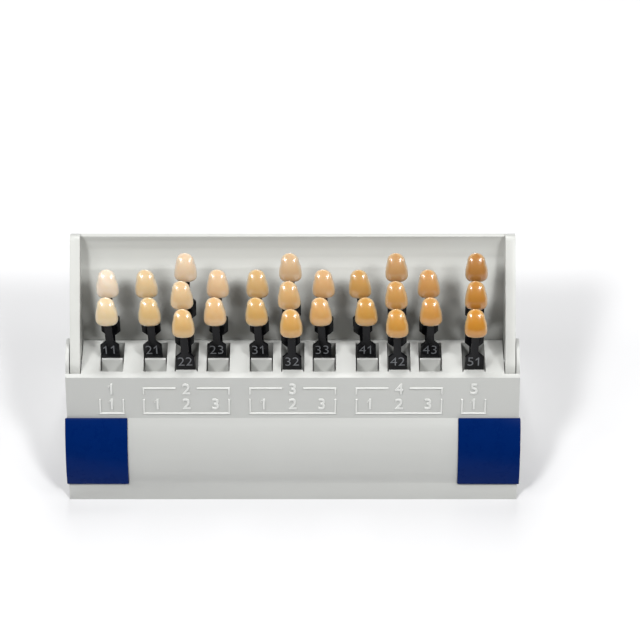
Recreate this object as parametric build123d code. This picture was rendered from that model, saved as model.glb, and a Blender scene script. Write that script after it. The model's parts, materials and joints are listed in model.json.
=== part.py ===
"""Dental shade guide: a desk holder with eleven fans of tooth-shaped shade tabs.

The holder is a moulded base with a sloping tray of pockets, a label face and a
curved front with two grip pads. Behind the tray a hood turns on two pins. Each
fan is two or three flat arms on one rivet, and each arm carries a tooth.

Millimetres and degrees. X runs to the right, Y to the back and Z up. The
origin is the middle of the flat underside, at table height.
"""
import os
from math import acos, asin, atan2, cos, degrees, hypot, radians, sin, sqrt

from build123d import *

# Holder, side view: every length is counted back and up from its front bottom edge
FOOT_DEPTH = 70.0           # flat underside, front to back
HEEL_HEIGHT = 5.0           # upright strip at the back, above the table
LIP_DEPTH = 3.7             # sloping lip along the bottom of the front
LIP_HEIGHT = 7.0
FRONT_CHORD = 29.2          # curved front above the lip, end to end
FRONT_LEAN = 34.4
FRONT_RADIUS = 36.0
LABEL_LENGTH = 19.1         # flat face that carries the numbers
LABEL_LEAN = 27.1
TRAY_MARGIN = 1.3           # top of the tray behind its pockets
FAN_LEAN = 19.0             # the fans stand square to the tray and lean back
SHELL_WALL = 2.4
FLOOR_THICKNESS = 2.0

# Ends of the holder, where the hood's end plates drop into slots
END_MARGIN = 18.2           # from the last pocket's middle to the end of the holder
END_PLATE = 4.0
END_GAP = 0.35              # free space on each side of an end plate
EAR_THICKNESS = 1.4
PIVOT_BACK = 11.9           # hood pivot, behind the tray's front edge
PIVOT_DROP = 1.95           # and below the tray's surface
DISC_RADIUS = 9.0           # round foot of an end plate
EAR_RADIUS = 9.6
SLOT_CLEARANCE = 0.6
PIN_RADIUS = 1.3
PIN_GRIP = 2.2              # how far a hinge pin enters the tray's side
RUNNING_CLEARANCE = 0.08

# Hood
HOOD_WALL = 1.8
HOOD_GAP = 1.0              # between the tray's back edge and the hood's wall
HOOD_DROP = 0.4             # foot of the hood's wall below the tray's surface
HOOD_LEAN = 40.0            # lower wall, from upright
LOWER_WALL = 29.0
CREASE_LEAN = 60.0          # upper wall starts at this lean at the crease
RIM_LEAN = 17.0             # and ends at this lean at the rim
UPPER_RADIUS = 20.1
EDGE_LEAN = 58.0            # straight front edge of an end plate
EDGE_LENGTH = 50.6
EDGE_TIP_ROUND = 2.5
STOP_GAP = 0.3              # under the open hood, down to the ledge it stops on
NOTCH_DEPTH = 0.8           # step down from the tray's back edge to that ledge

# Grip pads
PAD_WIDTH = 25.0
PAD_RECESS = 0.8
PAD_PROUD = 0.8
PAD_RETURN = 9.0            # how far a pad reaches in over the holder's end

# Pockets, in the fan's own frame: up along the arms, and back across the tray
POCKET_WIDTH = 9.3
POCKET_PLAY = 0.3           # from the last rivet head to the pocket's back wall
POCKET_MARGIN = 5.0         # from the tray's front edge to the pockets
POCKET_WALL = 1.6
POCKET_SPACING = 12.6       # neighbours within a group of three
GROUP_GAP = 17.3            # last pocket of a group to the first of the next
TONGUE_THICKNESS = 1.1
TONGUE_SLIT = 0.5
RECESS_DEPTH = 6.4          # open step in front of a fan that has only two arms

# Fans
ARM_THICKNESS = 1.2
ARM_PITCH = 7.3             # from one arm of a fan to the next behind it
ARM_STEP = 8.3              # each arm further back is longer by this much
ARM_PLAY = 0.1
RIVET_DEPTH = 22.0          # rivet below the tray's surface
RIVET_RADIUS = 1.5
RIVET_HEAD_RADIUS = 2.5
RIVET_HEAD_HEIGHT = 0.6
EYE_RADIUS = 3.4            # round lower end of a front arm, which rests on the pocket's floor
EYE_LIFT = 0.2              # the arms that swing stay this far above the floor
SPACER_RADIUS = 2.9
NECK_WIDTH = 3.0
PLATE_WIDTH = 7.6
PLATE_LENGTH = 10.7
PLATE_CHAMFER = 2.0
PLATE_TOP = 8.1             # top of the shortest arm's plate above the tray
TANG_WIDTH = 4.0            # end of an arm, let into the back of its tooth
TANG_LENGTH = 6.5

# Teeth
TOOTH_BOTTOM = 17.6         # wide edge of the shortest arm's tooth above the tray
TOOTH_WIDTH = 9.0
TOOTH_HEIGHT = 11.9
TOOTH_TOP_RADIUS = 3.6
TOOTH_CORNER_RADIUS = 2.4
TOOTH_TILT = 9.0            # a tooth leans back from its arm
TOOTH_EDGE = 1.7            # thickness of the wide edge
TOOTH_EDGE_FRONT = 3.2      # front of the wide edge ahead of the arm's middle
TOOTH_BULGE = 4.4           # front of the tooth at its fullest
TOOTH_BULGE_HEIGHT = 5.4
TOOTH_BACK = 1.7            # back of the tooth at its fullest, behind the arm
TOOTH_BACK_HEIGHT = 7.1
TOOTH_TOP_FRONT = 1.0       # front and back of the narrow end, from the arm's middle
TOOTH_TOP_BACK = 0.3

# Places along X, from the middle pocket: groups of three pockets, then a single one
GROUP_SPACING = 2 * POCKET_SPACING + GROUP_GAP
OUTER_SPACING = GROUP_SPACING + POCKET_SPACING + GROUP_GAP

# Each fan: its code, its pocket's place, and the lean of its arms from front to
# back in degrees, to the right when positive, as they stand in the holder
FANS = [
    ("11", -OUTER_SPACING, (-1.7, -1.1)),
    ("21", -GROUP_SPACING - POCKET_SPACING, (-2.1, -3.1)),
    ("22", -GROUP_SPACING, (-0.8, -1.3, 0.3)),
    ("23", -GROUP_SPACING + POCKET_SPACING, (-1.1, 0.3)),
    ("31", -POCKET_SPACING, (-2.1, -1.4)),
    ("32", 0.0, (-0.6, -1.4, -0.7)),
    ("33", POCKET_SPACING, (-1.8, -0.2)),
    ("41", GROUP_SPACING - POCKET_SPACING, (-0.8, -3.4)),
    ("42", GROUP_SPACING, (-1.4, -1.5, -1.2)),
    ("43", GROUP_SPACING + POCKET_SPACING, (-0.2, -1.1)),
    ("51", OUTER_SPACING, (0.2, 0.3, 0.4)),
]
ARM_NAMES = {2: ("front", "back"), 3: ("front", "middle", "back")}
FULL_FAN = 3

# Depth that a full fan takes up, and the top of the tray, which slopes down to the back
FAN_DEPTH = (FULL_FAN - 1) * ARM_PITCH + ARM_THICKNESS + 2 * ARM_PLAY + RIVET_HEAD_HEIGHT
POCKET_DEPTH = FAN_DEPTH + POCKET_PLAY
TRAY_DEPTH = POCKET_MARGIN + POCKET_DEPTH + TRAY_MARGIN

# Directions in the side view, as (back, up)
ARM_UP = (sin(radians(FAN_LEAN)), cos(radians(FAN_LEAN)))
TRAY_BACKWARD = (cos(radians(FAN_LEAN)), -sin(radians(FAN_LEAN)))

# Side view plane: its X is the distance back from the front edge, its Y is height
SIDE = Plane(origin=(0, -FOOT_DEPTH / 2, 0), x_dir=(0, 1, 0), z_dir=(1, 0, 0))


def along(point, lean, length):
    """Go a length from a point of the side view, upward and leaning back."""
    back = point[0] + length * sin(radians(lean))
    up = point[1] + length * cos(radians(lean))
    return (back, up)


def tray_point(back, up):
    """A point of the side view, from the tray's front edge across and off the tray."""
    y = TRAY_FRONT[0] + back * TRAY_BACKWARD[0] + up * ARM_UP[0]
    z = TRAY_FRONT[1] + back * TRAY_BACKWARD[1] + up * ARM_UP[1]
    return (y, z)


def arc_middle(start, end, radius):
    """Middle of the arc from start up to end that bulges forward."""
    half = hypot(end[0] - start[0], end[1] - start[1]) / 2
    rise = radius - sqrt(radius**2 - half**2)
    across = ((start[1] - end[1]) / (2 * half), (end[0] - start[0]) / (2 * half))
    middle = ((start[0] + end[0]) / 2, (start[1] + end[1]) / 2)
    return (middle[0] + rise * across[0], middle[1] + rise * across[1])


def prism(outline, left, right):
    """Solid between two places along X, from an outline in the side view."""
    return extrude(SIDE.offset(left) * outline, amount=right - left, dir=(1, 0, 0))


def both_ends(solid):
    """A solid made for the right end, with its mirror image for the left end."""
    return solid + mirror(solid, about=Plane.YZ)


# Corners of the holder's side view
LIP_TOP = (LIP_DEPTH, LIP_HEIGHT)
FRONT_TOP = along(LIP_TOP, FRONT_LEAN, FRONT_CHORD)
TRAY_FRONT = along(FRONT_TOP, LABEL_LEAN, LABEL_LENGTH)
TRAY_BACK = tray_point(TRAY_DEPTH, 0)
PIVOT = tray_point(PIVOT_BACK, -PIVOT_DROP)
FRONT_MIDDLE = arc_middle(LIP_TOP, FRONT_TOP, FRONT_RADIUS)

# Stations along X at the right end
HALF_WIDTH = OUTER_SPACING + END_MARGIN
EAR_INSIDE = HALF_WIDTH - EAR_THICKNESS
PLATE_OUTSIDE = EAR_INSIDE - END_GAP
PLATE_INSIDE = PLATE_OUTSIDE - END_PLATE
TRAY_END = PLATE_INSIDE - END_GAP

# Corners of the hood's side view, open
HOOD_FOOT = tray_point(TRAY_DEPTH + HOOD_GAP, -HOOD_DROP)
CREASE = along(HOOD_FOOT, HOOD_LEAN, LOWER_WALL)
HOOD_BACKWARD = (cos(radians(HOOD_LEAN)), -sin(radians(HOOD_LEAN)))


def hood_offset(point, distance):
    """Move a point of the side view square to the hood's lower wall, to its back."""
    y = point[0] + distance * HOOD_BACKWARD[0]
    z = point[1] + distance * HOOD_BACKWARD[1]
    return (y, z)


def upper_centre():
    """Centre of the upper wall's arc, in front of the hood."""
    lean = radians(CREASE_LEAN)
    y = CREASE[0] - UPPER_RADIUS * cos(lean)
    z = CREASE[1] + UPPER_RADIUS * sin(lean)
    return (y, z)


def upper_point(lean, radius):
    """Point of the upper wall where it leans by an angle, at a radius of its arc."""
    centre = upper_centre()
    y = centre[0] + radius * cos(radians(lean))
    z = centre[1] - radius * sin(radians(lean))
    return (y, z)


def slot_tangent(radius):
    """Where a line from the foot of the open hood's back touches a pivot disc."""
    corner = hood_offset(HOOD_FOOT, HOOD_WALL)
    away = (corner[0] - PIVOT[0], corner[1] - PIVOT[1])
    angle = atan2(away[1], away[0]) - acos(radius / hypot(*away))
    return (PIVOT[0] + radius * cos(angle), PIVOT[1] + radius * sin(angle))


def pivot_disc(radius):
    """Disc about the hood's pivot, in the side view."""
    return Pos(*PIVOT) * Circle(radius)


def side_outline():
    """Side view of the moulded base, without its ears."""
    ledge_inner = along(HOOD_FOOT, HOOD_LEAN, -STOP_GAP)
    ledge_outer = hood_offset(ledge_inner, HOOD_WALL)
    notch = tray_point(TRAY_DEPTH, -NOTCH_DEPTH)
    outline = [
        Line((0, 0), LIP_TOP),
        ThreePointArc(LIP_TOP, FRONT_MIDDLE, FRONT_TOP),
        Line(FRONT_TOP, TRAY_FRONT),
        Line(TRAY_FRONT, TRAY_BACK),
        Line(TRAY_BACK, notch),
        Line(notch, ledge_inner),
        Line(ledge_inner, ledge_outer),
        Line(ledge_outer, (FOOT_DEPTH, HEEL_HEIGHT)),
        Line((FOOT_DEPTH, HEEL_HEIGHT), (FOOT_DEPTH, 0)),
        Line((FOOT_DEPTH, 0), (0, 0)),
    ]
    return make_face(outline)


def cavity_outline():
    """Hollow inside of the base, open at the table."""
    inner = offset(side_outline(), amount=-SHELL_WALL, kind=Kind.INTERSECTION)
    # the heel and lip stay one wall thick down to the table
    low = SHELL_WALL + FLOOR_THICKNESS
    front = LIP_DEPTH * low / LIP_HEIGHT + SHELL_WALL * hypot(LIP_DEPTH, LIP_HEIGHT) / LIP_HEIGHT
    back = FOOT_DEPTH - SHELL_WALL
    mouth = Pos((front + back) / 2, low / 2) * Rectangle(back - front, low)
    return inner + mouth


def hood_outline():
    """Side view of the hood's thin wall: straight below, hollow above the crease."""
    outer = UPPER_RADIUS + HOOD_WALL
    middle_lean = (CREASE_LEAN + RIM_LEAN) / 2
    rim_inner = upper_point(RIM_LEAN, UPPER_RADIUS)
    rim_outer = upper_point(RIM_LEAN, outer)
    upper = make_face([
        ThreePointArc(CREASE, upper_point(middle_lean, UPPER_RADIUS), rim_inner),
        Line(rim_inner, rim_outer),
        ThreePointArc(rim_outer, upper_point(middle_lean, outer), upper_point(CREASE_LEAN, outer)),
        Line(upper_point(CREASE_LEAN, outer), CREASE),
    ])
    lower = make_face(Polyline(
        HOOD_FOOT,
        CREASE,
        hood_offset(CREASE, HOOD_WALL),
        hood_offset(HOOD_FOOT, HOOD_WALL),
        close=True,
    ))
    return lower + upper


def end_plate_outline():
    """Side view of an end plate: a straight front edge and a round foot."""
    square = radians(EDGE_LEAN)
    edge_start = (PIVOT[0] - DISC_RADIUS * cos(square), PIVOT[1] + DISC_RADIUS * sin(square))
    edge_end = along(edge_start, EDGE_LEAN, EDGE_LENGTH)
    plate = make_face(Polyline(
        edge_start,
        edge_end,
        upper_point(RIM_LEAN, UPPER_RADIUS + HOOD_WALL),
        upper_point(CREASE_LEAN, UPPER_RADIUS + HOOD_WALL),
        hood_offset(HOOD_FOOT, HOOD_WALL),
        slot_tangent(DISC_RADIUS),
        close=True,
    ))
    tip = plate.vertices().sort_by_distance(edge_end)[0]
    plate = fillet(tip, EDGE_TIP_ROUND)
    return plate + pivot_disc(DISC_RADIUS) + hood_outline()


def slot_outline():
    """Space in the base that the end plate turns in."""
    radius = DISC_RADIUS + SLOT_CLEARANCE
    start = slot_tangent(radius)
    corner = hood_offset(HOOD_FOOT, HOOD_WALL)
    reach = hypot(corner[0] - start[0], corner[1] - start[1])
    direction = ((corner[0] - start[0]) / reach, (corner[1] - start[1]) / reach)
    down = (direction[1] * SLOT_CLEARANCE, -direction[0] * SLOT_CLEARANCE)
    far = (start[0] + 2 * reach * direction[0] + down[0], start[1] + 2 * reach * direction[1] + down[1])
    top = TRAY_FRONT[1] + DISC_RADIUS
    wedge = make_face(Polyline(start, far, (far[0], top), (PIVOT[0], top), PIVOT, close=True))
    return pivot_disc(radius) + wedge


def pad_outline(inner, outer):
    """Band along the curved front, between two distances from its surface."""
    half = degrees(asin(FRONT_CHORD / 2 / FRONT_RADIUS))
    normal = FRONT_LEAN
    centre_back = FRONT_MIDDLE[0] + FRONT_RADIUS * cos(radians(normal))
    centre_up = FRONT_MIDDLE[1] - FRONT_RADIUS * sin(radians(normal))

    def at(angle, radius):
        turn = radians(normal + angle)
        return (centre_back - radius * cos(turn), centre_up + radius * sin(turn))

    low = FRONT_RADIUS + inner
    high = FRONT_RADIUS + outer
    return make_face([
        ThreePointArc(at(-half, high), at(0, high), at(half, high)),
        Line(at(half, high), at(half, low)),
        ThreePointArc(at(half, low), at(0, low), at(-half, low)),
        Line(at(-half, low), at(-half, high)),
    ])


def grip_pad():
    """Right-hand grip pad: a skin over the curved front that turns in over the end."""
    start = HALF_WIDTH + PAD_PROUD - PAD_WIDTH
    front = prism(pad_outline(-PAD_RECESS, PAD_PROUD), start, HALF_WIDTH + PAD_PROUD)
    end = prism(pad_outline(-PAD_RETURN, PAD_PROUD), HALF_WIDTH - PAD_RECESS, HALF_WIDTH + PAD_PROUD)
    return front + end


def hinge_pin():
    """Right-hand pin through the ear and the end plate into the tray's side."""
    return prism(pivot_disc(PIN_RADIUS), TRAY_END - PIN_GRIP, HALF_WIDTH)


def fan_plane(across):
    """Frame of a fan: X to the right, Y up its arms, Z forward, at its pocket's mouth."""
    front = tray_point(POCKET_MARGIN, 0)
    origin = SIDE.from_local_coords((front[0], front[1], across))
    return Plane(origin=origin, x_dir=(1, 0, 0), z_dir=(0, -TRAY_BACKWARD[0], -TRAY_BACKWARD[1]))


def fan_box(across, width, bottom, top, start, end):
    """Box in a fan's frame: a width, from bottom to top, and from start back to end."""
    size = Box(width, top - bottom, end - start)
    return fan_plane(across) * Pos(0, (bottom + top) / 2, -(start + end) / 2) * size


def front_wall(arm_count):
    """Distance back to the wall that a fan's front arm stands against."""
    return (FULL_FAN - arm_count) * ARM_PITCH


def pocket_floor():
    """Height of the pockets' floor in the fan's frame, under the fans' round ends."""
    return -RIVET_DEPTH - EYE_RADIUS


def pocket_wells():
    """Closed wells under the tray, which the pockets are cut into."""
    bottom = pocket_floor() - POCKET_WALL
    width = POCKET_WIDTH + 2 * POCKET_WALL
    start = -TONGUE_THICKNESS - POCKET_WALL
    end = POCKET_DEPTH + POCKET_WALL
    return [fan_box(across, width, bottom, -SHELL_WALL / 2, start, end) for code, across, leans in FANS]


def pocket_space(across, arm_count):
    """Everything cut away for one fan: its pocket, tongue slits and open step."""
    wall = front_wall(arm_count)
    above = SHELL_WALL
    pocket = fan_box(across, POCKET_WIDTH, pocket_floor(), above, wall, POCKET_DEPTH)
    tongue = fan_box(across, POCKET_WIDTH, -RECESS_DEPTH, above, wall - TONGUE_THICKNESS, wall)
    tongue -= fan_box(
        across, POCKET_WIDTH - 2 * TONGUE_SLIT, -RECESS_DEPTH, above, wall - TONGUE_THICKNESS, wall
    )
    space = pocket + tongue
    if arm_count < FULL_FAN:
        start, end = -TONGUE_THICKNESS, wall - TONGUE_THICKNESS
        space += fan_box(across, POCKET_WIDTH, -RECESS_DEPTH, above, start, end)
    return space


def base_shell(pad):
    """Moulded base: front, label face, tray with pockets, slotted ends and ears."""
    outline = side_outline()
    shell = prism(outline, -HALF_WIDTH, HALF_WIDTH)
    shell -= both_ends(prism(slot_outline(), TRAY_END, EAR_INSIDE))
    shell += both_ends(prism(pivot_disc(EAR_RADIUS), EAR_INSIDE, HALF_WIDTH))
    inside = TRAY_END - SHELL_WALL
    shell -= prism(cavity_outline(), -inside, inside)
    for well in pocket_wells():
        shell += well
    for code, across, leans in FANS:
        shell -= pocket_space(across, len(leans))
    shell -= both_ends(pad)
    shell -= both_ends(hinge_pin())
    return shell


def floor_plate():
    """Flat plate that closes the base at the table."""
    front = LIP_DEPTH * (SHELL_WALL + FLOOR_THICKNESS) / LIP_HEIGHT
    front += SHELL_WALL * hypot(LIP_DEPTH, LIP_HEIGHT) / LIP_HEIGHT
    back = FOOT_DEPTH - SHELL_WALL
    width = 2 * (TRAY_END - SHELL_WALL)
    middle = Plane(origin=((0, (front + back - FOOT_DEPTH) / 2, FLOOR_THICKNESS / 2)))
    return middle * Box(width, back - front, FLOOR_THICKNESS)


def hood():
    """Hood in one piece: the wall behind the fans and its two end plates."""
    wall = prism(hood_outline(), -PLATE_OUTSIDE, PLATE_OUTSIDE)
    plate = prism(end_plate_outline(), PLATE_INSIDE, PLATE_OUTSIDE)
    hole = prism(pivot_disc(PIN_RADIUS + RUNNING_CLEARANCE), PLATE_INSIDE, PLATE_OUTSIDE)
    return wall + both_ends(plate) - both_ends(hole)


def arm_middle(arm_count, index):
    """Distance back to the middle of an arm's thickness."""
    return front_wall(arm_count) + ARM_PLAY + ARM_THICKNESS / 2 + index * ARM_PITCH


def arm_frame(across, arm_count, index, lean):
    """Frame of one arm: at the rivet, Y up the arm, Z forward, turned by its lean."""
    at_rivet = Pos(0, -RIVET_DEPTH, -arm_middle(arm_count, index))
    return fan_plane(across) * at_rivet * Rot(0, 0, -lean)


def arm_plan(index, eye_radius, bore_radius):
    """Flat shape of an arm: eye, neck, chamfered code plate, and tang for the tooth."""
    rise = RIVET_DEPTH + index * ARM_STEP
    tang_top = rise + TOOTH_BOTTOM + TANG_LENGTH
    neck = Pos(0, tang_top / 2) * Rectangle(NECK_WIDTH, tang_top)
    plate = Rectangle(PLATE_WIDTH, PLATE_LENGTH)
    plate = chamfer(plate.vertices(), PLATE_CHAMFER)
    plate = Pos(0, rise + PLATE_TOP - PLATE_LENGTH / 2) * plate
    tang = Pos(0, tang_top - TANG_LENGTH / 2) * Rectangle(TANG_WIDTH, TANG_LENGTH)
    return Circle(eye_radius) + neck + plate + tang - Circle(bore_radius)


def shade_arm(frame, index):
    """One flat arm. The front arm sits on the pocket's floor and holds the rivet."""
    clearance = 0 if index == 0 else RUNNING_CLEARANCE
    eye_radius = EYE_RADIUS if index == 0 else EYE_RADIUS - EYE_LIFT
    plan = arm_plan(index, eye_radius, RIVET_RADIUS + clearance)
    return frame * extrude(plan, amount=ARM_THICKNESS / 2, both=True)


def tooth_front_view():
    """Tooth from the front: wide edge with round corners below, narrow round end on top."""
    corner_x = TOOTH_WIDTH / 2 - TOOTH_CORNER_RADIUS
    left = Pos(-corner_x, TOOTH_CORNER_RADIUS) * Circle(TOOTH_CORNER_RADIUS)
    right = Pos(corner_x, TOOTH_CORNER_RADIUS) * Circle(TOOTH_CORNER_RADIUS)
    top = Pos(0, TOOTH_HEIGHT - TOOTH_TOP_RADIUS) * Circle(TOOTH_TOP_RADIUS)
    return make_hull([left.edge(), right.edge(), top.edge()])


def tooth_side_view():
    """Tooth from its side, X forward and Y up: full in front, thin at its wide edge."""
    top = TOOTH_HEIGHT
    front_low = (TOOTH_EDGE_FRONT, 0)
    front_top = (TOOTH_TOP_FRONT, top)
    back_low = (TOOTH_EDGE_FRONT - TOOTH_EDGE, 0)
    back_top = (-TOOTH_TOP_BACK, top)
    return make_face([
        ThreePointArc(front_low, (TOOTH_BULGE, TOOTH_BULGE_HEIGHT), front_top),
        Line(front_top, back_top),
        ThreePointArc(back_top, (-TOOTH_BACK, TOOTH_BACK_HEIGHT), back_low),
        Line(back_low, front_low),
    ])


def tooth_blank():
    """Tooth before it is let over its arm, standing on the middle of its wide edge."""
    body = extrude(tooth_front_view(), amount=TOOTH_WIDTH, both=True)
    side = Plane(origin=(0, 0, 0), x_dir=(0, 0, 1), z_dir=(-1, 0, 0)) * tooth_side_view()
    body &= extrude(side, amount=TOOTH_WIDTH, both=True)
    return Rot(-TOOTH_TILT, 0, 0) * body


def tooth(frame, index, blank, arm):
    """One tooth, seated over the tang of its arm."""
    rise = RIVET_DEPTH + index * ARM_STEP + TOOTH_BOTTOM
    return frame * Pos(0, rise, 0) * blank - arm


def fan_rivet(across, arm_count):
    """Rivet of one fan, with a spacer ring between each two arms."""
    plane = fan_plane(across) * Pos(0, -RIVET_DEPTH, 0)
    start = arm_middle(arm_count, 0) - ARM_THICKNESS / 2
    end = arm_middle(arm_count, arm_count - 1) + ARM_THICKNESS / 2 + ARM_PLAY
    shaft = plane * Pos(0, 0, -(start + end) / 2) * Cylinder(RIVET_RADIUS, end - start)
    head_middle = end + RIVET_HEAD_HEIGHT / 2
    head = plane * Pos(0, 0, -head_middle) * Cylinder(RIVET_HEAD_RADIUS, RIVET_HEAD_HEIGHT)
    solids = [shaft + head]
    length = ARM_PITCH - ARM_THICKNESS - 2 * ARM_PLAY
    for index in range(arm_count - 1):
        middle = arm_middle(arm_count, index) + ARM_PITCH / 2
        ring = Cylinder(SPACER_RADIUS, length) - Cylinder(RIVET_RADIUS, length)
        solids.append(plane * Pos(0, 0, -middle) * ring)
    return solids


def write(name, shape):
    """Write one node's STEP file."""
    export_step(shape, f"parts/{name}.step")


def build():
    """Make every piece and write it."""
    os.makedirs("parts", exist_ok=True)
    pad = grip_pad()
    write("base_shell", base_shell(pad))
    write("floor_plate", floor_plate())
    write("hood", hood())
    write("grip_pad_right", pad)
    write("grip_pad_left", mirror(pad, about=Plane.YZ))
    write("hood_pins", Compound([hinge_pin(), mirror(hinge_pin(), about=Plane.YZ)]))
    blank = tooth_blank()
    rivets = []
    for code, across, leans in FANS:
        rivets += fan_rivet(across, len(leans))
        for index, lean in enumerate(leans):
            frame = arm_frame(across, len(leans), index, lean)
            place = f"{code}_{ARM_NAMES[len(leans)][index]}"
            arm = shade_arm(frame, index)
            write(f"arm_{place}", arm)
            write(f"tooth_{place}", tooth(frame, index, blank, arm))
    write("fan_rivets", Compound(rivets))


build()
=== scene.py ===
import json
from math import cos, pi, radians, sin, sqrt

import bmesh
import bpy
from mathutils import Matrix, Vector


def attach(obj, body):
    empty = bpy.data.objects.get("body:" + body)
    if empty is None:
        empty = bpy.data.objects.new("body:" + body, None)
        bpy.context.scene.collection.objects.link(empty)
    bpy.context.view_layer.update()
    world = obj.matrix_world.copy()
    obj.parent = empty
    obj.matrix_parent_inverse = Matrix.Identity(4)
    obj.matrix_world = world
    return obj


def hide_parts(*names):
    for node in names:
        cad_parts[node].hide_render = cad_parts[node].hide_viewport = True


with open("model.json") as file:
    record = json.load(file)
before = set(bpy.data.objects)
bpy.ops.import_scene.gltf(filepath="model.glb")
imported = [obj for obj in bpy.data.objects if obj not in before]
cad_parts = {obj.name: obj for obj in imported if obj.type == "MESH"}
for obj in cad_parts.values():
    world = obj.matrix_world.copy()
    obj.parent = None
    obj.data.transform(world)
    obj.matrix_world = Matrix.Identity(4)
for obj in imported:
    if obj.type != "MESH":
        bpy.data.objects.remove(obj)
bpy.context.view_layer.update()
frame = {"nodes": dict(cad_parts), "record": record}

# Sizes in millimetres, the same as in the part's source but for the tab's rounder corners
MM = 0.001
FOOT_DEPTH = 70.0
LIP_DEPTH = 3.7
LIP_HEIGHT = 7.0
FRONT_CHORD = 29.2
FRONT_LEAN = 34.4
LABEL_LENGTH = 19.1
LABEL_LEAN = 27.1
FAN_LEAN = 19.0
POCKET_MARGIN = 5.0
POCKET_SPACING = 12.6
GROUP_GAP = 17.3
GROUP_SPACING = 2 * POCKET_SPACING + GROUP_GAP
OUTER_SPACING = GROUP_SPACING + POCKET_SPACING + GROUP_GAP
ARM_THICKNESS = 1.2
ARM_PITCH = 7.3
ARM_STEP = 8.3
ARM_PLAY = 0.1
RIVET_DEPTH = 22.0
PLATE_LENGTH = 10.7
PLATE_TOP = 8.1
TOOTH_BOTTOM = 17.6
TOOTH_WIDTH = 9.0
TOOTH_HEIGHT = 11.9
TOOTH_TOP_RADIUS = 3.6
TOOTH_CORNER_RADIUS = 2.8
TOOTH_TILT = 9.0
TOOTH_EDGE = 1.7
TOOTH_EDGE_FRONT = 3.2
TOOTH_BULGE = 4.4
TOOTH_BULGE_HEIGHT = 5.4
TOOTH_BACK = 1.7
TOOTH_BACK_HEIGHT = 7.1
TOOTH_TOP_FRONT = 1.0
TOOTH_TOP_BACK = 0.3
TOOTH_SWELL = 0.28          # how far its sides bulge past straight lines
FULL_FAN = 3

# Each fan: its code, its pocket's place and the lean of its arms from front to back
FANS = [
    ("11", -OUTER_SPACING, (-1.7, -1.1)),
    ("21", -GROUP_SPACING - POCKET_SPACING, (-2.1, -3.1)),
    ("22", -GROUP_SPACING, (-0.8, -1.3, 0.3)),
    ("23", -GROUP_SPACING + POCKET_SPACING, (-1.1, 0.3)),
    ("31", -POCKET_SPACING, (-2.1, -1.4)),
    ("32", 0.0, (-0.6, -1.4, -0.7)),
    ("33", POCKET_SPACING, (-1.8, -0.2)),
    ("41", GROUP_SPACING - POCKET_SPACING, (-0.8, -3.4)),
    ("42", GROUP_SPACING, (-1.4, -1.5, -1.2)),
    ("43", GROUP_SPACING + POCKET_SPACING, (-0.2, -1.1)),
    ("51", OUTER_SPACING, (0.2, 0.3, 0.4)),
]
ARM_NAMES = {2: ("front", "back"), 3: ("front", "middle", "back")}

# Rounding of the edges of the pieces that stand for CAD nodes
SHELL_EDGE = 0.35
HOOD_EDGE = 0.5
PAD_EDGE = 0.45
ARM_EDGE = 0.28
EDGE_SEGMENTS = 3
EDGE_ANGLE = 24.0           # only edges sharper than this are rounded
FLAT_ANGLE = 0.6            # faces closer to level than this become one
WELD_DISTANCE = 0.002

# Camera, from the photograph: elevation, distance, and where the picture's middle looks
CAMERA_ELEVATION = 58.5
CAMERA_DISTANCE = 1320.0
PICTURE_MM = 256.0
AIM_RIGHT = 10.9
AIM_UP = 72.8
AIM_TOWARDS = 20.0
SENSOR_WIDTH = 36.0
NEAR_CLIP = 10.0


def side_point(back, up):
    """Row-frame point in millimetres from the side view's distance back and height."""
    return Vector((0, back - FOOT_DEPTH / 2, up))


def leaning(lean):
    """Direction of a line in the side view that leans back from upright."""
    return Vector((0, sin(radians(lean)), cos(radians(lean))))


def outward(lean):
    """Forward and upward normal of a face that leans back from upright."""
    return Vector((0, -cos(radians(lean)), sin(radians(lean))))


FRONT_TOP = side_point(LIP_DEPTH, LIP_HEIGHT) + FRONT_CHORD * leaning(FRONT_LEAN)
TRAY_FRONT = FRONT_TOP + LABEL_LENGTH * leaning(LABEL_LEAN)


def face_matrix(origin, lean):
    """Metres-to-row matrix of a face: X right, Y up along the face, Z out of it."""
    columns = (Vector((1, 0, 0)), leaning(lean), outward(lean))
    rotation = Matrix(columns).transposed().to_4x4()
    return Matrix.Translation(origin * MM) @ rotation


def front_wall(arm_count):
    """How much further back than in a full fan the front arm stands."""
    return (FULL_FAN - arm_count) * ARM_PITCH


def arm_matrix(across, arm_count, index, lean):
    """Frame of one arm in metres: at its rivet, Y up the arm, Z forward."""
    behind = front_wall(arm_count) + ARM_PLAY + ARM_THICKNESS / 2 + index * ARM_PITCH
    origin = TRAY_FRONT - (POCKET_MARGIN + behind) * outward(FAN_LEAN)
    origin = origin - RIVET_DEPTH * leaning(FAN_LEAN)
    origin.x = across
    return face_matrix(origin, FAN_LEAN) @ Matrix.Rotation(radians(-lean), 4, "Z")


# Materials

def material(name):
    """New material, with its nodes, its links and its shader."""
    made = bpy.data.materials.new(name)
    made.use_nodes = True
    nodes = made.node_tree.nodes
    shader = nodes["Principled BSDF"]
    return made, nodes, made.node_tree.links, shader


def srgb(red, green, blue, light=1.0):
    """Linear colour from 0-255 display values, as seen under a strength of light."""
    def linear(value):
        value /= 255
        return (value / 12.92 if value <= 0.04045 else ((value + 0.055) / 1.055) ** 2.4) / light
    return (linear(red), linear(green), linear(blue), 1.0)


def noise(nodes, links, scale, detail, roughness=0.5):
    """Noise over the piece's own coordinates in metres."""
    place = nodes.new("ShaderNodeTexCoord")
    texture = nodes.new("ShaderNodeTexNoise")
    texture.inputs["Scale"].default_value = scale
    texture.inputs["Detail"].default_value = detail
    texture.inputs["Roughness"].default_value = roughness
    links.new(place.outputs["Object"], texture.inputs["Vector"])
    return texture.outputs["Fac"]


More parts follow.
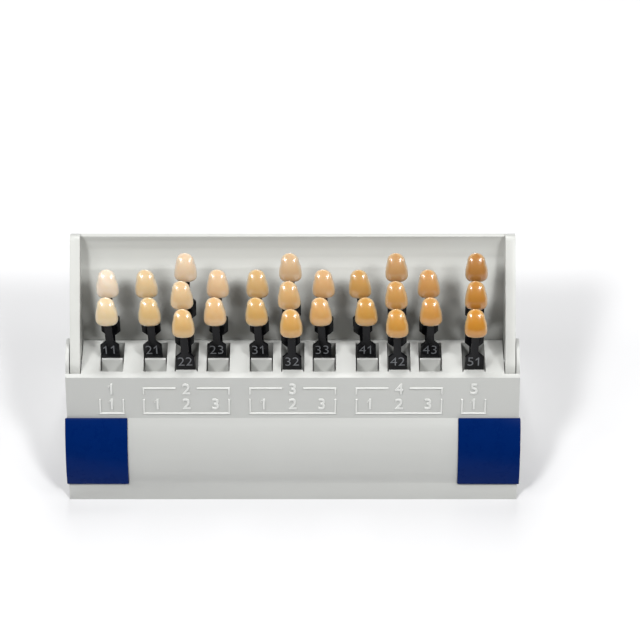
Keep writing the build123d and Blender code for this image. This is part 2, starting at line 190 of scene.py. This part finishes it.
def spread(nodes, links, value, low, high):
    """Map a 0-1 value to a range."""
    node = nodes.new("ShaderNodeMapRange")
    node.inputs["To Min"].default_value = low
    node.inputs["To Max"].default_value = high
    links.new(value, node.inputs["Value"])
    return node.outputs["Result"]


# Places of the colour sockets of a Mix node
MIX_FIRST = 6
MIX_SECOND = 7
MIX_RESULT = 2


def mixed(nodes, links, factor, first, second):
    """Mix two colours by a factor socket."""
    node = nodes.new("ShaderNodeMix")
    node.data_type = "RGBA"
    links.new(factor, node.inputs["Factor"])
    for socket, colour in ((node.inputs[MIX_FIRST], first), (node.inputs[MIX_SECOND], second)):
        if isinstance(colour, tuple):
            socket.default_value = colour
        else:
            links.new(colour, socket)
    return node.outputs[MIX_RESULT]


def bump(nodes, links, shader, height, strength, depth):
    """Fine relief from a height socket, its depth in millimetres."""
    node = nodes.new("ShaderNodeBump")
    node.inputs["Strength"].default_value = strength
    node.inputs["Distance"].default_value = depth * MM
    links.new(height, node.inputs["Height"])
    links.new(node.outputs["Normal"], shader.inputs["Normal"])


def moulded_plastic(name, colour, darker, roughness):
    """Satin moulded plastic: fine spark texture, faint flow marks, uneven gloss."""
    made, nodes, links, shader = material(name)
    flow = noise(nodes, links, scale=38.0, detail=2.0)
    grain = noise(nodes, links, scale=5200.0, detail=2.0, roughness=0.6)
    gloss = spread(nodes, links, flow, roughness - 0.05, roughness + 0.06)
    links.new(mixed(nodes, links, flow, colour, darker), shader.inputs["Base Color"])
    links.new(gloss, shader.inputs["Roughness"])
    bump(nodes, links, shader, grain, strength=0.16, depth=0.04)
    return made


def grip_material():
    """Glossy dark-blue rubber with faint wear and dust."""
    made, nodes, links, shader = material("grip_rubber")
    wear = noise(nodes, links, scale=160.0, detail=5.0, roughness=0.7)
    grain = noise(nodes, links, scale=3000.0, detail=2.0)
    blue = mixed(nodes, links, wear, srgb(0, 27, 84), srgb(1, 33, 94))
    links.new(blue, shader.inputs["Base Color"])
    links.new(spread(nodes, links, wear, 0.22, 0.34), shader.inputs["Roughness"])
    shader.inputs["Specular IOR Level"].default_value = 0.05
    bump(nodes, links, shader, grain, strength=0.1, depth=0.03)
    return made


def arm_material():
    """Glossy black plastic with fine handling marks."""
    made, nodes, links, shader = material("arm_plastic")
    wear = noise(nodes, links, scale=900.0, detail=4.0, roughness=0.65)
    black = mixed(nodes, links, wear, srgb(8, 8, 10), srgb(18, 18, 21))
    links.new(black, shader.inputs["Base Color"])
    links.new(spread(nodes, links, wear, 0.14, 0.3), shader.inputs["Roughness"])
    shader.inputs["Specular IOR Level"].default_value = 0.2
    bump(nodes, links, shader, wear, strength=0.08, depth=0.03)
    return made


def steel_material():
    """Plain steel with fine uneven marks."""
    made, nodes, links, shader = material("steel")
    shader.inputs["Metallic"].default_value = 1.0
    marks = noise(nodes, links, scale=2600.0, detail=2.0)
    grey = mixed(nodes, links, marks, srgb(186, 188, 190), srgb(150, 152, 155))
    links.new(grey, shader.inputs["Base Color"])
    links.new(spread(nodes, links, marks, 0.25, 0.4), shader.inputs["Roughness"])
    return made


def print_material():
    """Grey ink of the codes on the arms."""
    made, nodes, links, shader = material("code_ink")
    wear = noise(nodes, links, scale=4000.0, detail=2.0)
    grey = mixed(nodes, links, wear, srgb(122, 124, 128), srgb(86, 88, 92))
    links.new(grey, shader.inputs["Base Color"])
    shader.inputs["Roughness"].default_value = 0.45
    return made


def mix_colour(first, second, share):
    """Display colour between two others: share 0 gives the first, 1 the second."""
    return tuple(a + (b - a) * share for a, b in zip(first, second))


# Display colours of the palest and the strongest tab, in the lightest and the darkest group
PALE = ((238, 222, 204), (180, 126, 64))
STRONG = ((231, 210, 173), (205, 142, 50))
# Above 1 the colours darken slowly over the first groups, below 1 quickly
PALE_CURVE = 1.2
STRONG_CURVE = 0.7
# How strong each tab of a fan is, from 0 to 1
FULL_STRENGTH = {"front": 1.0, "middle": 0.5, "back": 0.0}
PAIR_STRENGTH = {"front": 0.8, "back": 0.42}
# How much lighter than written a colour would render on the tabs in this studio
TAB_LIGHT = 1.25
# The clear rim of a tab, and how far its colour goes towards that
RIM_COLOUR = (236, 226, 206)
RIM_SHARE = 0.45
# Green and blue of the stronger clouds in a tab, as shares of its own
HEART_GREEN = 0.97
HEART_BLUE = 0.9


def tooth_colour(group, strength, hue):
    """Display colour of a tab: group is 1 to 5, and hue is -1, 0 or 1, yellow to red."""
    dark = (group - 1) / 4
    pale = mix_colour(*PALE, dark**PALE_CURVE)
    strong = mix_colour(*STRONG, dark**STRONG_CURVE)
    red, green, blue = mix_colour(pale, strong, strength)
    return (red + 2 * hue, green - hue, blue + hue)


def tooth_material(name, colour):
    """Shade-tab resin: opaque body, clearer rim and edge, glazed surface."""
    made, nodes, links, shader = material(name)
    body = nodes.new("ShaderNodeAttribute")
    body.attribute_name = "body"
    red, green, blue = colour
    rim = srgb(*mix_colour(colour, RIM_COLOUR, RIM_SHARE), TAB_LIGHT)
    heart = srgb(red, green * HEART_GREEN, blue * HEART_BLUE, TAB_LIGHT)
    cloud = noise(nodes, links, scale=420.0, detail=3.0)
    flesh = mixed(nodes, links, cloud, srgb(*colour, TAB_LIGHT), heart)
    resin = mixed(nodes, links, body.outputs["Fac"], rim, flesh)
    links.new(resin, shader.inputs["Base Color"])
    shader.inputs["Subsurface Weight"].default_value = 0.3
    shader.inputs["Subsurface Radius"].default_value = (1.0, 0.55, 0.3)
    shader.inputs["Subsurface Scale"].default_value = 0.0012
    shader.inputs["Roughness"].default_value = 0.3
    shader.inputs["Coat Weight"].default_value = 0.9
    shader.inputs["Coat Roughness"].default_value = 0.04
    ripple = noise(nodes, links, scale=700.0, detail=2.0)
    bump(nodes, links, shader, ripple, strength=0.12, depth=0.1)
    return made


# Meshes

def add_object(name, mesh, body, look):
    """Put a mesh in the scene as a piece that rides on a body."""
    piece = bpy.data.objects.new(name, mesh)
    bpy.context.scene.collection.objects.link(piece)
    mesh.materials.clear()
    mesh.materials.append(look)
    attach(piece, body)
    return piece


def body_of_node(node):
    """Name of the body that a CAD node belongs to."""
    for body, members in frame["record"]["behaviour"]["bodies"].items():
        if node in members:
            return body
    raise ValueError(node)


def softened(node, look, width):
    """Add a copy of a CAD node with rounded edges, which stands for it."""
    mesh = frame["nodes"][node].data.copy()
    shape = bmesh.new()
    shape.from_mesh(mesh)
    bmesh.ops.remove_doubles(shape, verts=shape.verts, dist=WELD_DISTANCE * MM)
    bmesh.ops.dissolve_limit(
        shape, angle_limit=radians(FLAT_ANGLE),
        verts=shape.verts, edges=shape.edges, delimit={"NORMAL"},
    )
    bmesh.ops.recalc_face_normals(shape, faces=shape.faces)
    for face in shape.faces:
        face.smooth = True
    shape.to_mesh(mesh)
    shape.free()
    mesh.name = node + "_soft"
    piece = add_object(node + "_finish", mesh, body_of_node(node), look)
    edge = piece.modifiers.new("edges", "BEVEL")
    edge.limit_method = "ANGLE"
    edge.angle_limit = radians(EDGE_ANGLE)
    edge.width = width * MM
    edge.segments = EDGE_SEGMENTS
    edge.harden_normals = True
    edge.use_clamp_overlap = True
    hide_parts(node)


def close_rings(shape, rings):
    """Faces between rings of vertices, from the lowest to the highest, and over both ends."""
    for lower, upper in zip(rings, rings[1:]):
        for step in range(len(lower)):
            after = (step + 1) % len(lower)
            shape.faces.new((lower[step], lower[after], upper[after], upper[step]))
    shape.faces.new(list(reversed(rings[0])))
    shape.faces.new(rings[-1])


def tooth_half_width(y):
    """Half the tooth's width at a height, from its wide edge up to its narrow end."""
    corner = TOOTH_WIDTH / 2 - TOOTH_CORNER_RADIUS
    top_centre = TOOTH_HEIGHT - TOOTH_TOP_RADIUS
    if y < TOOTH_CORNER_RADIUS:
        return corner + sqrt(max(TOOTH_CORNER_RADIUS**2 - (TOOTH_CORNER_RADIUS - y) ** 2, 0))
    if y > top_centre:
        return sqrt(max(TOOTH_TOP_RADIUS**2 - (y - top_centre) ** 2, 0))
    share = (y - TOOTH_CORNER_RADIUS) / (top_centre - TOOTH_CORNER_RADIUS)
    straight = TOOTH_WIDTH / 2 + (TOOTH_TOP_RADIUS - TOOTH_WIDTH / 2) * share
    return straight + TOOTH_SWELL * sin(pi * share)


def through(y, low, middle, middle_height, high):
    """Smooth curve over the tooth's height, from its depths at three heights."""
    top = TOOTH_HEIGHT
    at_low = low * (y - middle_height) * (y - top) / (middle_height * top)
    at_middle = middle * y * (top - y) / (middle_height * (top - middle_height))
    at_high = high * y * (y - middle_height) / (top * (top - middle_height))
    return at_low + at_middle + at_high


def tooth_front(y):
    """How far forward of its arm the tooth's face is at a height."""
    return through(y, TOOTH_EDGE_FRONT, TOOTH_BULGE, TOOTH_BULGE_HEIGHT, TOOTH_TOP_FRONT)


def tooth_back(y):
    """How far forward of its arm the back of the tooth is at a height."""
    low = TOOTH_EDGE_FRONT - TOOTH_EDGE
    return through(y, low, -TOOTH_BACK, TOOTH_BACK_HEIGHT, -TOOTH_TOP_BACK)


ROWS = 30
ROUND = 48
END_FLAT = 0.004            # share of the height that is left off at each end
EDGE_TAPER = 1.1            # height over which the wide edge thickens
TOP_TAPER = 1.6             # the same for the narrow end
END_THICKNESS = 0.02        # square of the share of the thickness at both ends
EDGE_ARCH = 0.5
TOP_SKEW = 0.35             # the narrow end stands a little to the left, as on a real incisor
# Below 1 a section is squarer than an ellipse
FACE_POWER = 0.72
BACK_POWER = 0.95
DEPTH_POWER = 0.85
GROOVE_DEPTH = 0.09
GROOVE_WAVES = 3.2
# Where the resin is clearer: in from the sides, up from the wide edge, and on the back
RIM_WIDTH = 1.1
RIM_HEIGHT = 1.2
BACK_BODY = 0.6


def signed_power(value, power):
    """A value's size to a power, with the value's sign."""
    return (1 if value >= 0 else -1) * abs(value) ** power


def tooth_mesh(name):
    """Closed tooth surface: rings from the wide edge to the narrow end."""
    shape = bmesh.new()
    body = shape.verts.layers.float.new("body")
    rings = []
    for row in range(ROWS + 1):
        # rows are closer together at both ends, where the outline turns
        share = 0.5 - 0.5 * cos(pi * row / ROWS)
        y = TOOTH_HEIGHT * (END_FLAT + (1 - 2 * END_FLAT) * share)
        half = tooth_half_width(y)
        front, back = tooth_front(y), tooth_back(y)
        end = min(y / EDGE_TAPER, (TOOTH_HEIGHT - y) / TOP_TAPER, 1.0)
        thick = (front - back) / 2 * sqrt(max(1 - (1 - end) ** 2, END_THICKNESS))
        middle = (front + back) / 2
        ring = []
        for step in range(ROUND):
            angle = 2 * pi * step / ROUND
            side, depth = cos(angle), sin(angle)
            power = FACE_POWER if depth > 0 else BACK_POWER
            x = half * signed_power(side, power) - TOP_SKEW * share**2
            z = middle + thick * signed_power(depth, DEPTH_POWER)
            # two faint grooves down the face, and a fuller heart
            wave = cos(GROOVE_WAVES * pi * x / TOOTH_WIDTH)
            groove = GROOVE_DEPTH * wave * max(depth, 0) * (1 - share)
            # the wide edge is a shallow arch
            arch = EDGE_ARCH * (2 * x / TOOTH_WIDTH) ** 2 * (1 - share) ** 3
            vertex = shape.verts.new((x * MM, (y + arch) * MM, (z + groove) * MM))
            # distance in from the outline, where the rim is clearer
            inside = min(half * (1 - abs(side) ** power), y / RIM_HEIGHT)
            vertex[body] = min(max(inside / RIM_WIDTH, 0), 1) if depth > 0 else BACK_BODY
            ring.append(vertex)
        rings.append(ring)
    close_rings(shape, rings)
    for face in shape.faces:
        face.smooth = True
    bmesh.ops.recalc_face_normals(shape, faces=shape.faces)
    mesh = bpy.data.meshes.new(name)
    shape.to_mesh(mesh)
    shape.free()
    return mesh


CAPITAL_SHARE = 0.72        # height of a figure of the built-in face, as a share of its size
CURVE_STEPS = 6
# Stroke width of a figure, and the flag of a figure 1, as shares of its height
STROKE = 0.13
FLAG_REACH = 0.24
FLAG_DROP = 0.2
FLAG_THICKNESS = 0.13


def add_flag(mesh, x, height, raise_by):
    """Slanted flag at the top of a figure 1, whose stroke's middle is at x."""
    shape = bmesh.new()
    shape.from_mesh(mesh)
    top = height / 2
    tip = x - FLAG_REACH * height
    tip_top = top - FLAG_DROP * height
    thickness = FLAG_THICKNESS * height
    corners = [(x, top), (tip, tip_top), (tip, tip_top - thickness), (x, top - thickness)]
    rings = []
    for z in (-raise_by, raise_by):
        rings.append([shape.verts.new((cx * MM, cy * MM, z * MM)) for cx, cy in corners])
    close_rings(shape, rings)
    bmesh.ops.recalc_face_normals(shape, faces=shape.faces)
    shape.to_mesh(mesh)
    shape.free()


def text_mesh(name, words, height, raise_by, edge, thinner=0.0):
    """Mesh of some figures in metres, centred, facing +Z."""
    curve = bpy.data.curves.new(name, "FONT")
    curve.body = words
    curve.size = height * MM / CAPITAL_SHARE
    curve.align_x = "CENTER"
    curve.align_y = "CENTER"
    curve.extrude = raise_by * MM
    curve.offset = -thinner * MM
    curve.bevel_depth = edge * MM
    curve.bevel_resolution = 1
    curve.resolution_u = CURVE_STEPS
    carrier = bpy.data.objects.new(name, curve)
    bpy.context.scene.collection.objects.link(carrier)
    bpy.context.view_layer.update()
    graph = bpy.context.evaluated_depsgraph_get()
    mesh = bpy.data.meshes.new_from_object(carrier.evaluated_get(graph))
    bpy.data.objects.remove(carrier)
    bpy.data.curves.remove(curve)
    mesh.name = name
    # the built-in face's figure 1 is a bare stroke, so each one gets a flag
    left = min(vertex.co.x for vertex in mesh.vertices) / MM
    right = max(vertex.co.x for vertex in mesh.vertices) / MM
    if words.startswith("1"):
        add_flag(mesh, left + STROKE * height / 2, height, raise_by)
    if words.endswith("1"):
        add_flag(mesh, right - STROKE * height / 2, height, raise_by)
    return mesh


# The raised marks of the label
LINE_WIDTH = 0.7
LINE_RISE = 0.5
LINE_EDGE = 0.18            # bevel along the top of a line
LINE_ROOT = 0.2             # how far a line reaches into the label
FIGURE_HEIGHT = 5.0
FIGURE_RISE = 0.3
FIGURE_EDGE = 0.1


def bar(shape, x_low, x_high, y_low, y_high):
    """Raised line with bevelled edges, on the plane Z = 0."""
    levels = [(0.0, -LINE_ROOT), (0.0, LINE_RISE - LINE_EDGE), (LINE_EDGE, LINE_RISE)]
    rings = []
    for inset, z in levels:
        corners = [
            (x_low + inset, y_low + inset), (x_high - inset, y_low + inset),
            (x_high - inset, y_high - inset), (x_low + inset, y_high - inset),
        ]
        rings.append([shape.verts.new((x * MM, y * MM, z * MM)) for x, y in corners])
    close_rings(shape, rings)


# Rows of the label face, counted down from its top edge
FIGURE_ROW = 5.5
PLACE_ROW = 12.6
UPPER_LINE = 4.5
UPPER_STUB = 7.7
LOWER_START = 10.0
LOWER_LINE = 16.4
# Widths on the label face, and half the break in an upper line
UPPER_BREAK = 4.2
WIDE_BRACKET = 34.8
NARROW_BRACKET = 10.0
PLACE_SPACING = 11.6


def brackets(shape, centre, width, upper):
    """Brackets round one group: a broken line above, a tray-shaped line below."""
    left, right = centre - width / 2, centre + width / 2
    if upper:
        low = -UPPER_LINE - LINE_WIDTH
        bar(shape, left, centre - UPPER_BREAK, low, -UPPER_LINE)
        bar(shape, centre + UPPER_BREAK, right, low, -UPPER_LINE)
        bar(shape, left, left + LINE_WIDTH, -UPPER_STUB, low)
        bar(shape, right - LINE_WIDTH, right, -UPPER_STUB, low)
    bar(shape, left, right, -LOWER_LINE - LINE_WIDTH, -LOWER_LINE)
    bar(shape, left, left + LINE_WIDTH, -LOWER_LINE, -LOWER_START)
    bar(shape, right - LINE_WIDTH, right, -LOWER_LINE, -LOWER_START)


def label_marks(look):
    """Raised group numbers, place numbers and brackets on the label face."""
    plane = face_matrix(TRAY_FRONT, LABEL_LEAN)
    groups = [
        (-OUTER_SPACING, NARROW_BRACKET), (-GROUP_SPACING, WIDE_BRACKET), (0.0, WIDE_BRACKET),
        (GROUP_SPACING, WIDE_BRACKET), (OUTER_SPACING, NARROW_BRACKET),
    ]
    shape = bmesh.new()
    for number, (centre, width) in enumerate(groups, start=1):
        wide = width == WIDE_BRACKET
        brackets(shape, centre, width, wide)
        figures = [(str(number), centre, FIGURE_ROW)]
        if wide:
            places = (-PLACE_SPACING, 0.0, PLACE_SPACING)
            figures += [(str(i + 1), centre + x, PLACE_ROW) for i, x in enumerate(places)]
        else:
            figures += [("1", centre, PLACE_ROW)]
        for words, x, row in figures:
            mesh = text_mesh("figure", words, FIGURE_HEIGHT, FIGURE_RISE, FIGURE_EDGE)
            mesh.transform(Matrix.Translation((x * MM, -row * MM, 0)))
            shape.from_mesh(mesh)
            bpy.data.meshes.remove(mesh)
    mesh = bpy.data.meshes.new("label_marks")
    shape.to_mesh(mesh)
    shape.free()
    mesh.transform(plane)
    add_object("label_marks", mesh, "holder", look)


CODE_HEIGHT = 4.5
CODE_ABOVE = 1.2            # the print sits a little above the middle of the plate
CODE_THINNER = 0.07         # taken off each side of its strokes
CODE_RISE = 0.03
CODE_GAP = 0.02             # from the plate's face to the middle of the ink


def arm_code(name, words, matrix, body, look):
    """Printed code on the plate of a fan's front arm."""
    mesh = text_mesh(name, words, CODE_HEIGHT, CODE_RISE, 0.0, CODE_THINNER)
    middle = RIVET_DEPTH + PLATE_TOP - PLATE_LENGTH / 2 + CODE_ABOVE
    place = Vector((0, middle, ARM_THICKNESS / 2 + CODE_GAP)) * MM
    mesh.transform(matrix @ Matrix.Translation(place))
    add_object(name, mesh, body, look)


def fans(arm_look, ink_look):
    """Arms, codes and teeth of every fan."""
    for code, across, leans in FANS:
        count = len(leans)
        for index, lean in enumerate(leans):
            place = f"{code}_{ARM_NAMES[count][index]}"
            body = body_of_node("arm_" + place)
            matrix = arm_matrix(across, count, index, lean)
            softened("arm_" + place, arm_look, ARM_EDGE)
            if index == 0:
                arm_code("code_" + place, code, matrix, body, ink_look)
            group, fan = int(code[0]), int(code[1])
            # the end fans hold one row of shades, the others a yellow, a plain and a red one
            hue = 0 if abs(across) == OUTER_SPACING else fan - 2
            levels = PAIR_STRENGTH if hue else FULL_STRENGTH
            colour = tooth_colour(group, levels[ARM_NAMES[count][index]], hue)
            look = tooth_material("tooth_" + place, colour)
            mesh = tooth_mesh("tooth_" + place)
            rise = RIVET_DEPTH + index * ARM_STEP + TOOTH_BOTTOM
            tilt = Matrix.Rotation(radians(-TOOTH_TILT), 4, "X")
            mesh.transform(matrix @ Matrix.Translation((0, rise * MM, 0)) @ tilt)
            piece = add_object("shade_" + place, mesh, body, look)
            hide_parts("tooth_" + place)


def finish_node(node, look):
    """Give a CAD node that shows as it is its material."""
    materials = frame["nodes"][node].data.materials
    materials.clear()
    materials.append(look)


def holder():
    """Base, hood, pads and pins in their finishes, and the marks on the label."""
    shell_look = moulded_plastic("holder_plastic", srgb(190, 191, 188), srgb(185, 186, 183), 0.42)
    hood_look = moulded_plastic("hood_plastic", srgb(190, 191, 187), srgb(185, 186, 182), 0.42)
    # The raised marks are moulded in the label's own grey plastic; their lighter colour is a
    # painted highlight on the raised marks
    painted_highlight_mark_look = moulded_plastic("mark_plastic_painted_highlight", srgb(217, 218, 215), srgb(211, 212, 209), 0.38)
    grip_look = grip_material()
    steel = steel_material()
    softened("base_shell", shell_look, SHELL_EDGE)
    softened("hood", hood_look, HOOD_EDGE)
    for side in ("left", "right"):
        softened("grip_pad_" + side, grip_look, PAD_EDGE)
    finish_node("floor_plate", shell_look)
    finish_node("hood_pins", steel)
    finish_node("fan_rivets", steel)
    label_marks(painted_highlight_mark_look)


# Stage, in metres

FLOOR_HALF = 3.0


def stage_floor():
    """Plain pale floor that takes a soft shadow."""
    mesh = bpy.data.meshes.new("floor")
    corners = [
        (-FLOOR_HALF, -FLOOR_HALF, 0), (FLOOR_HALF, -FLOOR_HALF, 0),
        (FLOOR_HALF, FLOOR_HALF, 0), (-FLOOR_HALF, FLOOR_HALF, 0),
    ]
    mesh.from_pydata(corners, [], [(0, 1, 2, 3)])
    floor = bpy.data.objects.new("floor", mesh)
    bpy.context.scene.collection.objects.link(floor)
    made, _, _, shader = material("floor_paper")
    shader.inputs["Base Color"].default_value = srgb(210, 210, 211)
    shader.inputs["Roughness"].default_value = 0.9
    shader.inputs["Specular IOR Level"].default_value = 0.1
    mesh.materials.append(made)


def area_light(name, place, aim, size, power):
    """Square lamp that faces a point."""
    data = bpy.data.lights.new(name, "AREA")
    data.shape = "RECTANGLE"
    data.size = data.size_y = size
    data.energy = power
    lamp = bpy.data.objects.new(name, data)
    bpy.context.scene.collection.objects.link(lamp)
    lamp.location = place
    lamp.rotation_euler = (aim - place).to_track_quat("-Z", "Y").to_euler()


# Each lamp: its name, bearing from the front, height angle, size in metres and power in watts
LAMPS = [
    ("front_left", -60, 60, 0.22, 7.0),
    ("front_right", 60, 60, 0.22, 6.3),
    ("side_left", -90, 50, 0.30, 2.3),
    ("side_right", 90, 50, 0.30, 2.3),
    ("edge_left", -95, 22, 0.12, 0.7),
    ("edge_right", 95, 22, 0.12, 0.7),
    ("back", 180, 48, 0.35, 6.2),
]
LAMP_AIM = Vector((0, 0, 0.05))
LAMP_DISTANCE = 1.1
SURROUND_COLOUR = (0.97, 0.98, 1.0, 1)
SURROUND_STRENGTH = 0.05


def studio():
    """Two soft lamps in front, weaker ones beside, one behind, in a dim pale room.

    The small low lamps at the sides draw the bright lines along the black arms.
    """
    for name, bearing, height, size, power in LAMPS:
        across = sin(radians(bearing)) * cos(radians(height))
        towards = cos(radians(bearing)) * cos(radians(height))
        place = LAMP_AIM + LAMP_DISTANCE * Vector((across, -towards, sin(radians(height))))
        area_light(name, place, LAMP_AIM, size, power)
    world = bpy.data.worlds.new("surround")
    bpy.context.scene.world = world
    world.use_nodes = True
    background = world.node_tree.nodes["Background"]
    background.inputs["Color"].default_value = SURROUND_COLOUR
    background.inputs["Strength"].default_value = SURROUND_STRENGTH


def camera():
    """Camera at the photograph's elevation and distance."""
    data = bpy.data.cameras.new("camera")
    eye = bpy.data.objects.new("camera", data)
    bpy.context.scene.collection.objects.link(eye)
    rise = radians(CAMERA_ELEVATION)
    up = Vector((0, sin(rise), cos(rise)))
    towards = Vector((0, -cos(rise), sin(rise)))
    aim = side_point(0, 0) + AIM_UP * up + AIM_TOWARDS * towards
    aim.x = AIM_RIGHT
    eye.location = (aim + CAMERA_DISTANCE * towards) * MM
    eye.rotation_euler = (-towards).to_track_quat("-Z", "Y").to_euler()
    data.sensor_width = SENSOR_WIDTH
    data.lens = data.sensor_width * CAMERA_DISTANCE / PICTURE_MM
    data.clip_start = NEAR_CLIP * MM
    bpy.context.scene.camera = eye


holder()
fans(arm_material(), print_material())
stage_floor()
studio()
camera()
bpy.context.scene.view_settings.view_transform = "Standard"
